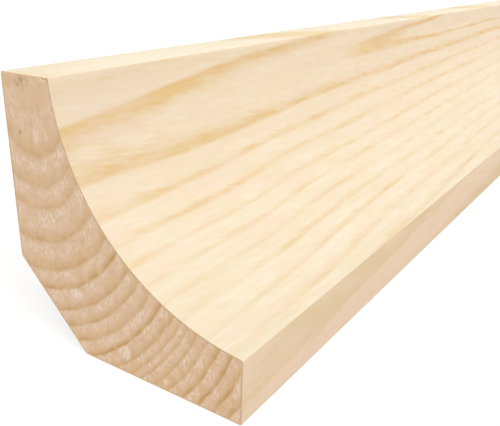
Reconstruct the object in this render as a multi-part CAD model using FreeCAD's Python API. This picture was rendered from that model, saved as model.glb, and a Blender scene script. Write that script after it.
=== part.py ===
import FreeCAD, Part
import math
import os

# Cove skirting: a straight length of planed softwood moulding for the corner
# between a wall and a floor. It is one piece of wood: a square section with a
# hollow worked out of the front, a narrow land left at the top and at the front,
# and the hidden back corner planed off, so that it never rides on the joint
# of the wall and the floor.
# All sizes are in millimetres. X runs along the length, the back is at +Y,
# the cove faces -Y, and the board stands on Z = 0. The origin is in the middle
# of the footprint.

# Driving dimensions
length = 2400.0
depth = 38.0
height = 38.0
top_land = 9.0
front_land = 9.0
cove_radius = 32.0
back_chamfer = 12.0
arris_radius = 0.3


def section_point(out, up):
    """A point of the section: out from the wall, up from the floor."""
    return FreeCAD.Vector(-length / 2, depth / 2 - out, up)


def cove_middle(upper, lower):
    """The point halfway along the hollow arc between the two lands."""
    chord = lower.sub(upper)
    middle = upper.add(lower).multiply(0.5)
    half_chord = chord.Length / 2
    hollow_depth = cove_radius - math.sqrt(cove_radius**2 - half_chord**2)
    into_wood = chord.cross(FreeCAD.Vector(-1, 0, 0)).normalize()
    return middle.add(into_wood.multiply(hollow_depth))


def skirting_section():
    """The planed section, with sharp corners."""
    top_back = section_point(0, height)
    cove_top = section_point(top_land, height)
    cove_foot = section_point(depth, front_land)
    front_foot = section_point(depth, 0)
    chamfer_foot = section_point(back_chamfer, 0)
    chamfer_top = section_point(0, back_chamfer)
    outline = Part.Wire(
        [
            Part.LineSegment(top_back, cove_top).toShape(),
            Part.Arc(cove_top, cove_middle(cove_top, cove_foot), cove_foot).toShape(),
            Part.LineSegment(cove_foot, front_foot).toShape(),
            Part.LineSegment(front_foot, chamfer_foot).toShape(),
            Part.LineSegment(chamfer_foot, chamfer_top).toShape(),
            Part.LineSegment(chamfer_top, top_back).toShape(),
        ]
    )
    return Part.Face(outline)


def skirting_board():
    """The section run through the whole length, with its long arrises eased."""
    sharp = skirting_section().extrude(FreeCAD.Vector(length, 0, 0))
    long_edges = [edge for edge in sharp.Edges if edge.BoundBox.XLength > length / 2]
    return sharp.makeFillet(arris_radius, long_edges)


os.makedirs("parts", exist_ok=True)
skirting_board().exportStep("parts/skirting_board.step")
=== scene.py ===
import math

import bmesh
import bpy
from mathutils import Matrix, Vector, noise


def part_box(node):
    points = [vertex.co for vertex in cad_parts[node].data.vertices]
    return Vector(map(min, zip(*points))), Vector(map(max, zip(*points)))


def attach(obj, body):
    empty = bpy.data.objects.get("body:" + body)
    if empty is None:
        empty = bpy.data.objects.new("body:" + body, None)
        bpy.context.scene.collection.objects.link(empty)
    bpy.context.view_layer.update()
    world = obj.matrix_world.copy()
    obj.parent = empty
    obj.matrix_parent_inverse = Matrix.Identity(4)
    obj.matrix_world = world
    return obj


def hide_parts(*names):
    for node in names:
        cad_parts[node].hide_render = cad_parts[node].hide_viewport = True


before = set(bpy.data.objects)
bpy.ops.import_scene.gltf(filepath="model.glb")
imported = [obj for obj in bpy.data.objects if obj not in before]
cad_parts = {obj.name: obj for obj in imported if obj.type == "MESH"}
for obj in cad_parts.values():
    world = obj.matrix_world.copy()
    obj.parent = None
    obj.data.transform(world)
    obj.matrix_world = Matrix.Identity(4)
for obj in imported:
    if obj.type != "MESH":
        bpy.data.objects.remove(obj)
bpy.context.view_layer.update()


# The board: one straight length of planed softwood. A moulding machine ran the
# square stock past its cutters, which left a hollow in front, a narrow land on
# each side of it and a planed-off back corner. The long arrises are barely eased.
low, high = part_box("skirting_board")
near_end = low.x
far_end = high.x
wall = high.y
top = high.z
board_length = far_end - near_end
board_depth = wall - low.y
top_land = 0.009
front_land = 0.009
cove_radius = 0.032
back_chamfer = 0.012
arris = 0.0003
cove_steps = 48
cut_spacing = 0.025
close_cuts = (0.0003, 0.0008, 0.0016, 0.003, 0.006, 0.012)
cut_weld = 1e-7


def section_point(out, up):
    """A point of the near end's outline: out from the wall, up from the floor."""
    return Vector((near_end, wall - out, up))


def everything(mesh):
    """All points, edges and faces of a mesh, for a cut right through it."""
    return mesh.verts[:] + mesh.edges[:] + mesh.faces[:]


cove_top = section_point(top_land, top)
cove_foot = section_point(board_depth, front_land)
chord = cove_foot - cove_top
out_of_wood = chord.cross(Vector((1, 0, 0))).normalized()
centre_distance = math.sqrt(cove_radius**2 - chord.length_squared / 4)
cove_axis = (cove_top + cove_foot) / 2 + out_of_wood * centre_distance
cove_turn = (cove_top - cove_axis).angle(cove_foot - cove_axis)

shape = bmesh.new()
girth = shape.verts.layers.float.new("girth")
arc_start = shape.verts.new(cove_top)
swept = bmesh.ops.spin(
    shape,
    geom=[arc_start],
    cent=cove_axis,
    axis=(-1, 0, 0),
    angle=cove_turn,
    steps=cove_steps,
    use_merge=False,
)
corners = [
    arc_start,
    swept["geom_last"][0],
    shape.verts.new(section_point(board_depth, 0)),
    shape.verts.new(section_point(back_chamfer, 0)),
    shape.verts.new(section_point(0, back_chamfer)),
    shape.verts.new(section_point(0, top)),
]
for start, end in zip(corners[1:], corners[2:] + corners[:1]):
    shape.edges.new((start, end))
bmesh.ops.contextual_create(shape, geom=shape.edges[:])
bmesh.ops.bevel(
    shape,
    geom=corners,
    offset=arris,
    offset_type="OFFSET",
    segments=3,
    profile=0.5,
    affect="VERTICES",
    material=-1,
)

# Every point keeps its distance round the section, counted from the hidden corner
# under the board. The map of the long faces is laid out by it further down.
shape.faces.ensure_lookup_table()
outline = shape.faces[0]
hidden_corner = section_point(back_chamfer, 0)
loop = min(outline.loops, key=lambda corner: (corner.vert.co - hidden_corner).length)
girth_total = 0.0
for step in range(len(outline.loops)):
    loop.vert[girth] = girth_total
    girth_total += (loop.link_loop_next.vert.co - loop.vert.co).length
    loop = loop.link_loop_next

# The outline is copied to the far end, and the sides between the two are closed one
# after the other, so that the faces come in the same order each run.
near_edges = list(outline.edges)
copied = bmesh.ops.duplicate(shape, geom=[outline, *near_edges, *outline.verts])
far_points = [item for item in copied["geom"] if isinstance(item, bmesh.types.BMVert)]
bmesh.ops.translate(shape, verts=far_points, vec=(board_length, 0, 0))
for near_edge in near_edges:
    bmesh.ops.contextual_create(shape, geom=[near_edge, copied["edge_map"][near_edge]])
bmesh.ops.recalc_face_normals(shape, faces=shape.faces[:])

# The faces are numbered by the finish that they get: 0 sawn end, 1 sawn edge,
# 2 cove, 3 top land, 4 front land and 5 the hidden faces.
for face in shape.faces:
    middle = face.calc_center_median()
    reach = math.hypot(middle.y - cove_axis.y, middle.z - cove_axis.z)
    if abs(face.normal.x) > 0.9:
        face.material_index = 0
    elif abs(reach - cove_radius) < arris / 3 and middle.z < top - arris / 2:
        face.material_index = 2
    elif middle.z > top - arris:
        face.material_index = 3
    elif middle.y < low.y + arris:
        face.material_index = 4
    else:
        face.material_index = 5

cuts = [near_end + cut_spacing * step for step in range(1, round(board_length / cut_spacing))]
for distance in close_cuts:
    cuts += [near_end + distance, far_end - distance]
for place in cuts:
    bmesh.ops.bisect_plane(
        shape, geom=everything(shape), dist=cut_weld, plane_co=(place, 0, 0), plane_no=(1, 0, 0)
    )


# The sawn ends: bare end grain. The saw tore the soft early wood of each year a
# little deeper than the hard late wood, so the rings stand in low relief. They run
# round a pith just above the top edge, and their centre drifts as the tree grows.
MM = 1000.0
pith = (6.8, 39.57)
pith_drift = (-0.273, -0.904)
wide_centre = (5.68, 31.08)
wide_drift = (-0.1746, -0.1603)
centres_meet = 11.4

# Each spell of growth has its number of rings, their width in millimetres and how
# dark their late wood is.
growth = (
    (1, 3.3, 0.05),
    (1, 3.25, 0.40),
    (1, 2.1, 0.35),
    (1, 1.68, 0.35),
    (1, 3.57, 0.50),
    (1, 3.7, 0.60),
    (1, 2.4, 1.00),
    (1, 2.8, 0.60),
    (2, 2.15, 0.60),
    (1, 2.2, 1.00),
    (1, 2.2, 0.55),
    (2, 1.3, 0.40),
    (2, 1.6, 0.45),
    (1, 2.0, 0.80),
    (9, 2.0, 1.10),
)


def root(value):
    """The square root of a plain number, or of an amount that varies over the wood."""
    return math.sqrt(value) if isinstance(value, float) else value.root()


def clamped(value, start, end):
    """How far a value is from start to end, from 0 to 1."""
    if isinstance(value, float):
        return min(max((value - start) / (end - start), 0.0), 1.0)
    return value.ramp(start, end)


def ring_radius(out, up, centre, drift):
    """The radius of the ring through a point, where the rings' centre drifts with growth."""
    across = out - centre[0]
    above = up - centre[1]
    inward = across * drift[0] + above * drift[1]
    spare = 1 - drift[0] ** 2 - drift[1] ** 2
    reach = across * across + above * above
    return (root(inward * inward + reach * spare) - inward) * (1 / spare)


def radius_in_tree(out, up):
    """The growth radius at a point of the section, in millimetres."""
    early = ring_radius(out, up, pith, pith_drift)
    later = ring_radius(out, up, wide_centre, wide_drift)
    share = clamped(early, centres_meet - 0.1, centres_meet + 0.1)
    return early + (later - early) * share


def year(radius):
    """The tree's age at a radius: a whole number at the dark end of each ring."""
    age = 0.0
    start = 0.0
    for rings, width, darkness in growth:
        age = clamped(radius, start, start + rings * width) * rings + age
        start += rings * width
    return age


def late_wood_darkness(radius):
    """How dark the late wood is at a radius, from 0 to 1."""
    darkness = 0.0
    before = 0.0
    start = 0.0
    for rings, width, after in growth:
        darkness = clamped(radius, start, start + 0.01) * (after - before) + darkness
        before = after
        start += rings * width
    return darkness


facet = 0.00035
rim = 0.0002
flat_on_end = 1e-6
late_wood_starts = 0.3
late_wood_full = 0.95
early_wood_full = 0.15
tear_depth = 0.00003
fuzz_depth = 0.00002
fuzz_width = 0.35
fuzz_length = 1.1
ends_apart = 9
for end, inward in ((near_end, 1), (far_end, -1)):
    cap = [
        face
        for face in shape.faces
        if abs(face.calc_center_median().x - end) < flat_on_end
    ]
    inset = bmesh.ops.inset_individual(shape, faces=cap, thickness=rim, use_even_offset=True)
    for face in inset["faces"]:
        face.material_index = 1
    rim_points = set(cap[0].verts)
    region = cap + cap[0].edges[:] + cap[0].verts[:]
    for extent, direction in ((board_depth, (0, 1, 0)), (top, (0, 0, 1))):
        for step in range(1, int(extent / facet)):
            place = Vector(direction) * step * facet + Vector((0, low.y, 0))
            region = bmesh.ops.bisect_plane(
                shape, geom=region, dist=cut_weld, plane_co=place, plane_no=direction
            )["geom"]
    for point in region:
        if isinstance(point, bmesh.types.BMVert) and point not in rim_points:
            out = (wall - point.co.y) * MM
            up = point.co.z * MM
            if abs(point.co.x - end) < flat_on_end:
                phase = year(radius_in_tree(out, up)) % 1.0
                hard = clamped(phase, late_wood_starts, late_wood_full)
                torn = (1 - hard) * clamped(phase, 0.0, early_wood_full)
                fuzz = noise.noise(Vector((end * ends_apart, out / fuzz_width, up / fuzz_length)))
                point.co.x += inward * (tear_depth * torn + fuzz_depth * max(0.5 + fuzz, 0.0))

# A splinter broke off the near end's top edge, close to the cove, when it was sawn.
chip_out = 0.0082
chip = section_point(chip_out, top)
chip_reach = 0.0006
chip_depth = 0.00035
chip_cuts = (-0.0003, 0, 0.0003)
beside_chip = [
    face
    for face in shape.faces
    if any((corner.co - chip).length < 2 * chip_reach for corner in face.verts)
]
region = [item for face in beside_chip for item in [face, *face.edges, *face.verts]]
region = list(dict.fromkeys(region))
for offset in chip_cuts:
    region = bmesh.ops.bisect_plane(
        shape, geom=region, dist=cut_weld, plane_co=chip + Vector((0, offset, 0)), plane_no=(0, 1, 0)
    )["geom"]
for point in shape.verts:
    left = 1 - (point.co - chip).length / chip_reach
    if left > 0:
        point.co += Vector((chip_depth, 0, -chip_depth)) * left
bmesh.ops.dissolve_degenerate(shape, dist=cut_weld, edges=shape.edges[:])
sharp_angle = math.radians(15)
for face in shape.faces:
    face.smooth = True
for edge in shape.edges:
    torn_face = all(face.material_index == 0 for face in edge.link_faces)
    edge.smooth = torn_face or edge.calc_face_angle() < sharp_angle


# Grain is worked out from where a point lies in the board, in millimetres: along
# it from the near end, out from the wall and up from the floor. Small amounts
# that vary over the wood are added, compared and blended as plain sums.
class Amount:
    """A number that varies over the wood. Sums with it make Math nodes."""

    def __init__(self, tree, socket):
        self.tree = tree
        self.socket = socket

    def math(self, operation, *others):
        """A Math node fed with this amount and the others."""
        node = self.tree.nodes.new("ShaderNodeMath")
        node.operation = operation
        for value, socket in zip((self,) + others, node.inputs):
            feed(self.tree, value, socket)
        return Amount(self.tree, node.outputs[0])

    def __add__(self, other):
        return self.math("ADD", other)

    def __sub__(self, other):
        return self.math("SUBTRACT", other)

    def __mul__(self, other):
        return self.math("MULTIPLY", other)

    def root(self):
        return self.math("SQRT")

    def ramp(self, start, end, low=0.0, high=1.0, easing="LINEAR"):
        """Goes from low to high, and no further, while this goes from start to end."""
        node = self.tree.nodes.new("ShaderNodeMapRange")
        node.interpolation_type = easing
        for value, socket in zip((self, start, end, low, high), node.inputs):
            feed(self.tree, value, socket)
        return Amount(self.tree, node.outputs[0])

    def swell(self, start, end):
        """A soft rise from 0 to 1."""
        return self.ramp(start, end, easing="SMOOTHSTEP")


def feed(tree, value, socket):
    """Links a varying amount or colour to a socket, or sets a plain value on it."""
    if isinstance(value, Amount):
        tree.links.new(value.socket, socket)
    else:
        socket.default_value = value


def place_in_board(tree):
    """Along, out and up, in millimetres."""
    coordinates = tree.nodes.new("ShaderNodeTexCoord")
    split = tree.nodes.new("ShaderNodeSeparateXYZ")
    tree.links.new(coordinates.outputs["Object"], split.inputs[0])
    x, y, z = (Amount(tree, socket) for socket in split.outputs)
    return (x - near_end) * MM, (y - wall) * -MM, z * MM


def cloud(place, sizes, detail=2.0, apart=0.0):
    """Soft noise from 0 to 1, with the given feature sizes along, out and up."""
    tree = next(value.tree for value in place if isinstance(value, Amount))
    join = tree.nodes.new("ShaderNodeCombineXYZ")
    for value, size, socket in zip(place, sizes, join.inputs):
        feed(tree, value * (1 / size) + apart, socket)
    node = tree.nodes.new("ShaderNodeTexNoise")
    node.inputs["Scale"].default_value = 1.0
    node.inputs["Detail"].default_value = detail
    tree.links.new(join.outputs[0], node.inputs["Vector"])
    return Amount(tree, node.outputs["Fac"])


def blend(tree, first, second, share):
    """A colour part of the way from the first to the second."""
    node = tree.nodes.new("ShaderNodeMix")
    node.data_type = "RGBA"
    feed(tree, share, node.inputs["Factor"])
    for colour, socket in zip((first, second), (node.inputs[6], node.inputs[7])):
        feed(tree, colour if isinstance(colour, Amount) else (*colour, 1.0), socket)
    return Amount(tree, node.outputs[2])


def spot(first, second, centre, size):
    """1 in the middle of a soft oval spot, and 0 outside it."""
    across = (first - centre[0]) * (1 / size[0])
    above = (second - centre[1]) * (1 / size[1])
    return (across * across + above * above).ramp(1.0, 0.0, easing="SMOOTHSTEP")


def wood_material(name, roughness):
    """A new material with a bare Principled shader, and its node tree."""
    material = bpy.data.materials.new(name)
    material.use_nodes = True
    tree = material.node_tree
    shader = tree.nodes["Principled BSDF"]
    shader.inputs["Roughness"].default_value = roughness
    shader.inputs["Specular IOR Level"].default_value = 0.15
    return material, tree, shader


def raise_grain(tree, shader, height, depth):
    """Bump from an amount, at a depth in metres."""
    bump = tree.nodes.new("ShaderNodeBump")
    bump.inputs["Distance"].default_value = depth
    feed(tree, height, bump.inputs["Height"])
    tree.links.new(bump.outputs[0], shader.inputs["Normal"])


# The sawn ends' finish: bare end grain. Each ring ends in a thin golden-brown line,
# darker in some places than in others. The saw left whitish torn fibres that run up
# and down, and the wood between them is mottled rosy and tan.
early_end = (0.824, 0.586, 0.38)
tan_end = (0.76, 0.51, 0.277)
rosy_end = (0.868, 0.592, 0.44)
late_end = (0.61, 0.36, 0.13)
torn_end = (0.95, 0.728, 0.565)
bright_end = (0.955, 0.776, 0.63)
speck_end = (0.62, 0.435, 0.29)
smudge_brown = (0.40, 0.25, 0.12)
# The dark brown in the chip is painted shade in its hollow.
chip_painted_shade = (0.16, 0.09, 0.045)
pale_rim = (0.80, 0.57, 0.37)
brown_rim = (0.70, 0.48, 0.28)
sawn_roughness = 0.75
fibre_depth = 0.00006
ring_sway = 0.7
years_per_mm = -0.0026
bright_spots = (
    ((5.7, 30.4), (0.8, 1.4)),
    ((10.9, 9.1), (1.5, 1.1)),
    ((19.7, 3.0), (1.1, 1.4)),
)


def painted_chip_shade(out, up):
    """Painted shade in the chip, and a fainter painted shade at the cove's edge below it."""
    in_chip = spot(out, up, (chip_out * MM, 37.9), (0.6, 0.5))
    by_cove = spot(out, up, (9.05, 37.45), (0.2, 0.4))
    return in_chip * 0.8 + by_cove * 0.5


sawn_end, tree, shader = wood_material("sawn_end", sawn_roughness)
place = place_in_board(tree)
along, out, up = place
sway_out = (cloud(place, (50, 3.0, 3.0)) - 0.5) * ring_sway
sway_up = (cloud(place, (50, 3.0, 3.0), apart=7.3) - 0.5) * ring_sway
radius = radius_in_tree(out + sway_out, up + sway_up)
phase = (year(radius) + along * years_per_mm).math("FRACT")
tan = cloud(place, (50, 1.2, 2.4), apart=9.2).ramp(0.35, 0.7)
outer = radius.ramp(28.0, 34.0, 0.0, 0.25)
clear_of_top = up.ramp(35.0, 31.0, 0.3, 1.0)
toned = phase.ramp(0.15, 0.95) * radius.ramp(3.0, 6.0, 0.1, 0.45) * clear_of_top
colour = blend(tree, early_end, tan_end, tan * 0.5 + toned + outer)
rosy = cloud(place, (50, 1.0, 2.0), apart=4.8).ramp(0.45, 0.65)
colour = blend(tree, colour, rosy_end, rosy * 0.5)
patchy = cloud(place, (50, 2.6, 2.6), apart=3.1).ramp(0.36, 0.62, 0.3, 1.0)
line = (phase.swell(0.45, 0.9) * 0.75 + phase.swell(0.76, 0.92) * 0.5) * phase.swell(1.0, 0.88)
dark = late_wood_darkness(radius) * patchy * clear_of_top
colour = blend(tree, colour, late_end, line * dark)
fibres = cloud(place, (0.5, 0.38, 0.8), detail=3.0)
torn = fibres.ramp(0.38, 0.62) * cloud(place, (50, 2.0, 1.6), apart=5.7).ramp(0.36, 0.58)
torn = torn * phase.ramp(0.7, 0.2, 0.15, 1.1) * phase.ramp(0.0, 0.1, 0.4, 1.0)
torn = torn * radius.ramp(3.0, 6.0, 0.5, 1.0)
colour = blend(tree, colour, torn_end, torn)
specks = cloud(place, (0.4, 0.4, 0.8), detail=3.0, apart=1.6)
colour = blend(tree, colour, speck_end, specks.ramp(0.52, 0.75) * 0.38)
at_near_end = along.ramp(2.0, 1.0)
for centre, size in bright_spots:
    bright = spot(out, up, centre, size) * fibres.ramp(0.35, 0.6, 0.2, 0.8) * at_near_end
    colour = blend(tree, colour, bright_end, bright)
top_smudge = spot(out, up, (3.8, 37.0), (1.9, 1.1)) * cloud(place, (5, 0.7, 0.5)).ramp(0.35, 0.6)
brown_dot = spot(out, up, (2.6, 30.3), (0.5, 0.55))
colour = blend(tree, colour, smudge_brown, (top_smudge * 0.5 + brown_dot * 0.45) * at_near_end)
# Painted shade darkens the chip and the cove's edge below it.
colour = blend(tree, colour, chip_painted_shade, painted_chip_shade(out, up) * at_near_end)
feed(tree, colour, shader.inputs["Base Color"])
raise_grain(tree, shader, fibres, fibre_depth)

sawn_rim, tree, shader = wood_material("sawn_rim", sawn_roughness)
place = place_in_board(tree)
along, out, up = place
at_near_end = along.ramp(2.0, 1.0)
shaded = cloud(place, (0.5, 0.5, 0.5)).ramp(0.3, 0.7)
colour = blend(tree, pale_rim, brown_rim, shaded)
# Painted shade darkens the chip and the cove's edge below it.
colour = blend(tree, colour, chip_painted_shade, painted_chip_shade(out, up) * at_near_end)
feed(tree, colour, shader.inputs["Base Color"])


# The planed cove: flat-sawn grain. The rings close up in pointed arches along the
# board. Their late wood shows as mottled bands, broad and golden near the top, where
# the cutter ran nearly along a ring, and thin and faint lower down.
upper_cove = (0.915, 0.77, 0.595)
middle_cove = (0.868, 0.736, 0.56)
lower_cove = (0.852, 0.76, 0.59)
foot_cove = (0.876, 0.787, 0.617)
pink_cove = (0.845, 0.665, 0.52)
straw_cove = (0.79, 0.69, 0.455)
late_upper = (0.80, 0.55, 0.255)
late_lower = (0.745, 0.515, 0.235)
planed_roughness = 0.6
grain_depth = 0.00002

planed_cove, tree, shader = wood_material("planed_cove", planed_roughness)
along, out, up = place_in_board(tree)
axis_out = (wall - cove_axis.y) * MM
axis_up = cove_axis.z * MM
start_angle = math.atan2(top * MM - axis_up, top_land * MM - axis_out)
angle = (up - axis_up).math("ARCTAN2", out - axis_out)
down = (angle - start_angle) * (cove_radius * MM)
fine = cloud((along, down - along * 0.15, 0.0), (2.2, 0.32, 1), apart=3.6)
streaks = cloud((along, down - along * 0.04, 0.0), (5, 0.8, 1), apart=6.1)
broad = cloud((along, down - along * 0.01, 0.0), (13, 1.9, 1), apart=9.4)

# The tree's age at a point of the cove is counted in rings, and it is lowest along
# the valley line down the middle of the arches. The line starts 10 mm down the cove
# and climbs past its top edge. The arches round it are blunt near the end only.
valley_drop = 13.5
valley_length = 215
valley_above = 3.85
blunt_rings = 1.264
blunt_length = 158
rings_per_mm_down = 0.271
rings_per_mm_along = 0.0066
age_at_start = 1.65
wander_width = 40.0
far_on = along.ramp(230.0, 500.0)
wander = (cloud((along, 0.0, 0.0), (420, 1, 1), apart=1.7) - 0.5) * far_on * wander_width
valley = (along * (-1 / valley_length)).math("EXPONENT") * valley_drop - valley_above
valley = valley + along.ramp(45.0, 25.0, 0.0, 0.75) + wander
widening = ((along * along) * (-1 / blunt_length**2)).math("EXPONENT") * blunt_rings + 0.03
slope = (down - valley) * rings_per_mm_down
ripple = (cloud((along, down, 0.0), (38, 9, 1), detail=1.0) - 0.5) * 0.4
feather = (streaks - 0.5) * 0.14 + (fine - 0.5) * 0.08
age = (slope * slope + widening * widening).root() - widening
age = age - along * rings_per_mm_along + age_at_start
age = age + along.ramp(30.0, 0.0, 0.0, 0.05) + down.ramp(23.6, 35.0) * 0.685 + ripple + feather
phase = age.math("FRACT")
ring = age.math("FLOOR")

# The first arch begins about 90 mm from the near end. The second line is darkest
# near the end, where the further ones are faintest, and the upper arm of an arch is
# darker than the lower one.
first_arch = along.ramp(80.0, 95.0, 0.1, 1.0)
second_arch = along.ramp(18.0, 50.0, 1.25, 0.82)
further_arches = along.ramp(10.0, 40.0, 0.6, 1.2) * along.ramp(90.0, 180.0, 1.0, 0.65)
arm = slope.ramp(-2.0, -1.6, 0.4, 1.25) * slope.ramp(-0.5, 0.0, 1.0, 0.8)


def line_darkness(number):
    """How dark the late wood of a ring with this number is, here along the board."""
    strength = number.ramp(2.0, 3.0, 0.72, 0.5) * number.ramp(3.0, 7.0, 1.0, 0.6)
    strength = strength * number.ramp(1.0, 2.0, first_arch, second_arch) * arm
    strength = strength * number.ramp(2.0, 3.0, 1.0, further_arches)
    least = number.ramp(2.0, 3.0, 0.9, 0.35)
    most = number.ramp(2.0, 3.0, 1.1, 1.5)
    return strength * cloud((along, number * 7.3, 0.0), (30, 1, 1)).ramp(0.3, 0.7, least, most)


first_start = along.ramp(95.0, 125.0, 0.55, 0.86)
line_start = ring.ramp(1.0, 2.0, ring.ramp(0.0, 1.0, first_start, 0.55), 0.66)
before_line = phase.swell(line_start, 1.0) * line_darkness(ring + 1.0)
after_line = phase.swell(0.18, 0.0) * line_darkness(ring)
mottle = cloud((along, down - along * 0.1, 0.0), (7, 1.6, 1), apart=4.4).ramp(0.36, 0.64, 0.7, 1.35)
grain = (fine - 0.5) * 0.48 + (streaks - 0.5) * 0.45 + (broad - 0.5) * 0.45
early = blend(tree, upper_cove, middle_cove, down.ramp(0.0, 8.0))
early = blend(tree, early, lower_cove, down.ramp(14.0, 30.0))
early = blend(tree, early, foot_cove, down.ramp(33.0, 38.0))
late = blend(tree, late_upper, late_lower, down.ramp(5.0, 11.0))
colour = blend(tree, early, late, (before_line + after_line) * mottle + grain + 0.15)
pink = cloud((along, down, 0.0), (16, 2.2, 1), apart=2.9).ramp(0.45, 0.65)
straw = cloud((along, down, 0.0), (14, 2.0, 1), apart=5.5).ramp(0.5, 0.7)
colour = blend(tree, colour, pink_cove, pink * 0.42)
colour = blend(tree, colour, straw_cove, straw * down.ramp(10.0, 16.0, 0.2, 0.42))
feed(tree, colour, shader.inputs["Base Color"])
raise_grain(tree, shader, fine, grain_depth)


# The two lands beside the cove: narrow planed strips. The top one is almost white
# with a few soft golden patches. The front one is pinkish with faint blushes, and a
# tan band slants up it from the near end and comes back further along the board.
pale_top = (0.915, 0.812, 0.625)
golden_top = (0.84, 0.65, 0.37)
pink_front = (0.90, 0.70, 0.51)
tan_front = (0.82, 0.64, 0.415)
dark_front = (0.82, 0.55, 0.27)
blush_front = (0.93, 0.69, 0.53)
golden_patches = ((56.0, 14.0), (122.0, 9.0), (186.0, 13.0))
band_height = 13.2
band_climb = 0.07
band_foot = 1.6

top_strip, tree, shader = wood_material("top_land", planed_roughness)
along, out, up = place_in_board(tree)
lean = along - out * 1.8
golden = cloud((lean, out, 0.0), (40, 8, 1), apart=2.2).ramp(0.5, 0.68) * along.ramp(200.0, 260.0)
for centre, reach in golden_patches:
    golden = golden + spot(lean, out, (centre, 4.5), (reach, 12.0))
edge_glow = along.ramp(12.0, 0.0) * 0.3
streaks = cloud((along, out, 0.0), (6.0, 0.5, 1), apart=1.3)
mottled = cloud((lean, out, 0.0), (9, 2.5, 1), apart=8.1)
share = golden * 0.9 + edge_glow + (streaks - 0.5) * 0.8 + (mottled - 0.5) * 0.9
colour = blend(tree, pale_top, golden_top, share + 0.05)
feed(tree, colour, shader.inputs["Base Color"])
raise_grain(tree, shader, streaks, grain_depth)

front_strip, tree, shader = wood_material("front_land", planed_roughness)
along, out, up = place_in_board(tree)
wander = (cloud((along, 0.0, 0.0), (300, 1, 1), apart=5.2) - 0.5) * along.ramp(150.0, 400.0) * 20.0
ripple = (cloud((along, up, 0.0), (12, 2.0, 1), apart=4.1) - 0.5) * 1.6
height = up - along * band_climb - band_foot + wander + ripple
band = (height * (1 / band_height)).math("FRACT")
tan = band.swell(0.0, 0.08) * band.ramp(0.65, 0.5) * along.ramp(0.0, 12.0, 0.4, 1.0)
colour = blend(tree, pink_front, tan_front, tan)
streaks = cloud((along, up, 0.0), (6.0, 0.45, 1), detail=3.0, apart=7.7)
fine = cloud((along, up + along * 0.05, 0.0), (2.0, 0.25, 1), apart=2.7)
edge_line = band.swell(0.0, 0.06) * band.ramp(0.22, 0.08) * along.ramp(110.0, 60.0, 0.3, 1.0)
low_edge = up.ramp(2.6, 0.6) * along.ramp(80.0, 110.0) * 0.45
share = edge_line * 0.2 + low_edge + (streaks - 0.5) * 1.4 + (fine - 0.5) * 1.2
colour = blend(tree, colour, dark_front, share + 0.05)
blush = cloud((along, up, 0.0), (11, 3.0, 1), apart=6.8).ramp(0.46, 0.62)
colour = blend(tree, colour, blush_front, blush * 0.35)
feed(tree, colour, shader.inputs["Base Color"])
raise_grain(tree, shader, streaks, grain_depth)


# The back, the chamfer and the underside: planed and hidden in use. Their grain
# runs on from the rings of the sawn ends.
early_plain = (0.86, 0.715, 0.525)
late_plain = (0.78, 0.55, 0.29)

hidden_faces, tree, shader = wood_material("hidden_faces", planed_roughness)
place = place_in_board(tree)
along, out, up = place
bend = along.ramp(0.0, 300.0)
shift_out = (cloud((along, 0.0, 0.0), (420, 1, 1), apart=3.3) - 0.5) * bend * 12.0
shift_up = (cloud((along, 0.0, 0.0), (420, 1, 1), apart=6.6) - 0.5) * bend * 12.0
sway = cloud(place, (40, 3, 3)) - 0.5
radius = radius_in_tree(out + sway + shift_out, up + sway + shift_up)
phase = (year(radius) + along * years_per_mm).math("FRACT")
line = phase.swell(0.45, 0.92) * phase.ramp(1.0, 0.96)
colour = blend(tree, early_plain, late_plain, line * late_wood_darkness(radius))
streaks = cloud(place, (5.0, 0.4, 0.4), detail=3.0, apart=1.9)
colour = blend(tree, colour, late_plain, streaks.ramp(0.5, 0.8) * 0.3)
feed(tree, colour, shader.inputs["Base Color"])
raise_grain(tree, shader, streaks, grain_depth)


# The faces get their finishes, and a map that lays them out flat: the long faces
# as two strips, each half of the board, and the two sawn ends above them.
finishes = [sawn_end, sawn_rim, planed_cove, top_strip, front_strip, hidden_faces]
strip_height = 0.34
end_size = 0.27
gap = 0.01
board_map = shape.loops.layers.uv.new("OFBake")
half_length = board_length / 2
for face in shape.faces:
    middle = face.calc_center_median()
    for corner in face.loops:
        point = corner.vert.co
        if face.material_index < 2:
            across = (wall - point.y) / board_depth * end_size + gap
            if middle.x > 0:
                across += end_size + gap
            above = 1 - gap - end_size + point.z / top * end_size
        else:
            around = corner.vert[girth]
            last_face = any(other.vert[girth] > girth_total / 2 for other in face.loops)
            if around == 0 and middle.z < back_chamfer and last_face:
                around = girth_total
            along_half = point.x - near_end if middle.x < 0 else point.x
            across = gap + along_half / half_length * (1 - 2 * gap)
            above = gap + around / girth_total * strip_height
            if middle.x > 0:
                above += strip_height + gap
        corner[board_map].uv = (across, above)
board_mesh = bpy.data.meshes.new("pine_moulding")
shape.to_mesh(board_mesh)
shape.free()
for finish in finishes:
    board_mesh.materials.append(finish)
board = bpy.data.objects.new("pine_moulding", board_mesh)
bpy.context.scene.collection.objects.link(board)
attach(board, "root")
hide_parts("skirting_board")


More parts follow.
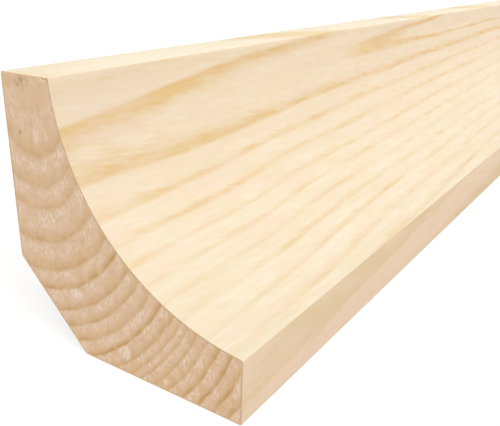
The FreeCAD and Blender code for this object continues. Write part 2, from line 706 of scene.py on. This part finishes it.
# The floor: a plain white sheet. To the camera it glows a little, so that it is
# white as in the photograph, and it still takes the board's soft shadow.
floor_size = 60.0
floor_shape = bmesh.new()
bmesh.ops.create_grid(floor_shape, x_segments=1, y_segments=1, size=floor_size / 2)
floor_mesh = bpy.data.meshes.new("floor")
floor_shape.to_mesh(floor_mesh)
floor_shape.free()
floor = bpy.data.objects.new("floor", floor_mesh)
bpy.context.scene.collection.objects.link(floor)
white_sheet = bpy.data.materials.new("white_sheet")
white_sheet.use_nodes = True
tree = white_sheet.node_tree
tree.nodes.clear()
output = tree.nodes.new("ShaderNodeOutputMaterial")
paper = tree.nodes.new("ShaderNodeBsdfDiffuse")
glow = tree.nodes.new("ShaderNodeEmission")
ray = tree.nodes.new("ShaderNodeLightPath")
seen = Amount(tree, ray.outputs["Is Camera Ray"])
feed(tree, seen.ramp(0.0, 1.0, 0.5, 0.35), paper.inputs["Color"])
feed(tree, seen * 0.68, glow.inputs["Strength"])
both = tree.nodes.new("ShaderNodeAddShader")
tree.links.new(paper.outputs[0], both.inputs[0])
tree.links.new(glow.outputs[0], both.inputs[1])
tree.links.new(both.outputs[0], output.inputs["Surface"])
floor_mesh.materials.append(white_sheet)


# The light: an even white studio, with one broad lamp from the left, in front of
# the board and above it.
studio = bpy.data.worlds.new("studio")
bpy.context.scene.world = studio
studio.use_nodes = True
tree = studio.node_tree
backdrop = tree.nodes["Background"]
backdrop.inputs["Color"].default_value = (1, 1, 1, 1)
ray = tree.nodes.new("ShaderNodeLightPath")
mirrored = Amount(tree, ray.outputs["Is Glossy Ray"])
seen = Amount(tree, ray.outputs["Is Camera Ray"]).math("MAXIMUM", mirrored)
feed(tree, seen.ramp(0.0, 1.0, 0.60, 1.0), backdrop.inputs["Strength"])

lamp_data = bpy.data.lights.new("broad_lamp", "SUN")
lamp_data.energy = 1.97
lamp_data.angle = math.radians(50)
lamp = bpy.data.objects.new("broad_lamp", lamp_data)
lamp.rotation_mode = "QUATERNION"
towards_lamp = Vector((-0.45, -0.5, 0.74))
lamp.rotation_quaternion = towards_lamp.to_track_quat("Z", "Y")
bpy.context.scene.collection.objects.link(lamp)


# The camera: close to the near end and a little above the board, as in the photo.
camera_data = bpy.data.cameras.new("camera")
camera_data.lens = 46.02
camera_data.sensor_width = 36
camera_data.shift_x = 0.0850
camera_data.shift_y = 0.0226
camera_data.clip_start = 0.001
camera = bpy.data.objects.new("camera", camera_data)
stand = Matrix.Translation((-1.25178, -0.05205, 0.04987))
heading = Matrix.Rotation(math.radians(-53.721), 4, "Z")
tilt = Matrix.Rotation(math.radians(90 - 21.606), 4, "X")
roll = Matrix.Rotation(math.radians(-0.066), 4, "Z")
camera.matrix_world = stand @ heading @ tilt @ roll
bpy.context.scene.collection.objects.link(camera)
bpy.context.scene.camera = camera
bpy.context.scene.view_settings.view_transform = "Standard"
